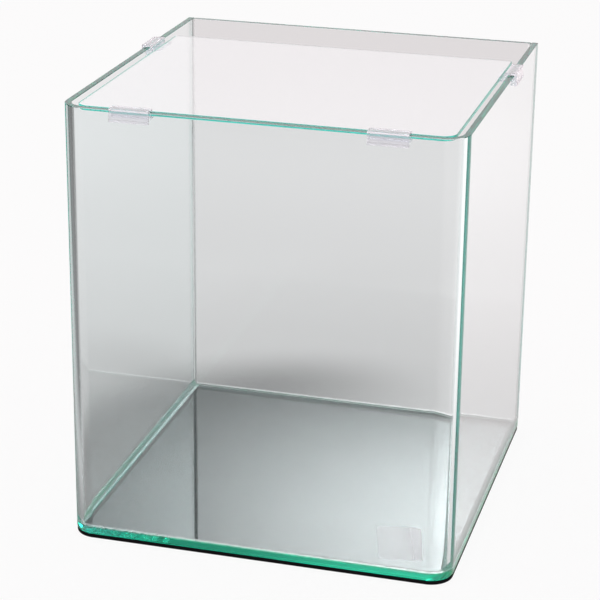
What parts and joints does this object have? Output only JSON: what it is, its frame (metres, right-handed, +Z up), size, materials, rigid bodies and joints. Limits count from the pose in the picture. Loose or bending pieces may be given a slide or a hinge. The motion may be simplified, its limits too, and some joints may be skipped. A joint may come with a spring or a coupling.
{
  "type": "aquarium",
  "caption": "Open-topped glass tank with a bent front, foam underlay and a loose glass cover that rests on clear clips hooked over the rim.",
  "frame": {"origin": "centre of the foam mat's underside, where the tank stands", "axes": "+Z up out of the open top, the bent front faces -Y, width along X"},
  "size_m": [0.3052, 0.3026, 0.3468],
  "materials": {
    "clear_glass": "polished",
    "cover_clear_glass": "polished",
    "clear_silicone": "clear",
    "clear_plastic": "clear gloss",
    "black_foam": "matte foam",
    "plain_film": "satin film"
  },
  "bodies": {
    "tank": {"foam_mat": "black_foam", "bottom_pane": "clear_glass", "bent_glass_wall": "clear_glass", "back_pane": "clear_glass", "wall_foot_seam": "clear_silicone", "back_foot_seam": "clear_silicone", "left_back_seam": "clear_silicone", "right_back_seam": "clear_silicone", "blank_film": "plain_film"},
    "cover": {"cover_glass": "cover_clear_glass"},
    "front_left_holder": {"front_left_clip": "clear_plastic"},
    "front_right_holder": {"front_right_clip": "clear_plastic"},
    "left_holder": {"left_clip": "clear_plastic"},
    "right_holder": {"right_clip": "clear_plastic"}
  },
  "joints": [
    {"name": "cover_lift", "type": "slide", "parent": "tank", "child": "cover", "axis": [0, 0, 1], "range_m": [0, 0.1]},
    {"name": "front_left_clip_slide", "type": "slide", "parent": "tank", "child": "front_left_holder", "axis": [1, 0, 0], "range_m": [-0.02, 0.07]},
    {"name": "front_right_clip_slide", "type": "slide", "parent": "tank", "child": "front_right_holder", "axis": [1, 0, 0], "range_m": [-0.07, 0.02]},
    {"name": "left_clip_slide", "type": "slide", "parent": "tank", "child": "left_holder", "axis": [0, 1, 0], "range_m": [-0.15, 0.07]},
    {"name": "right_clip_slide", "type": "slide", "parent": "tank", "child": "right_holder", "axis": [0, 1, 0], "range_m": [-0.15, 0.07]}
  ]
}
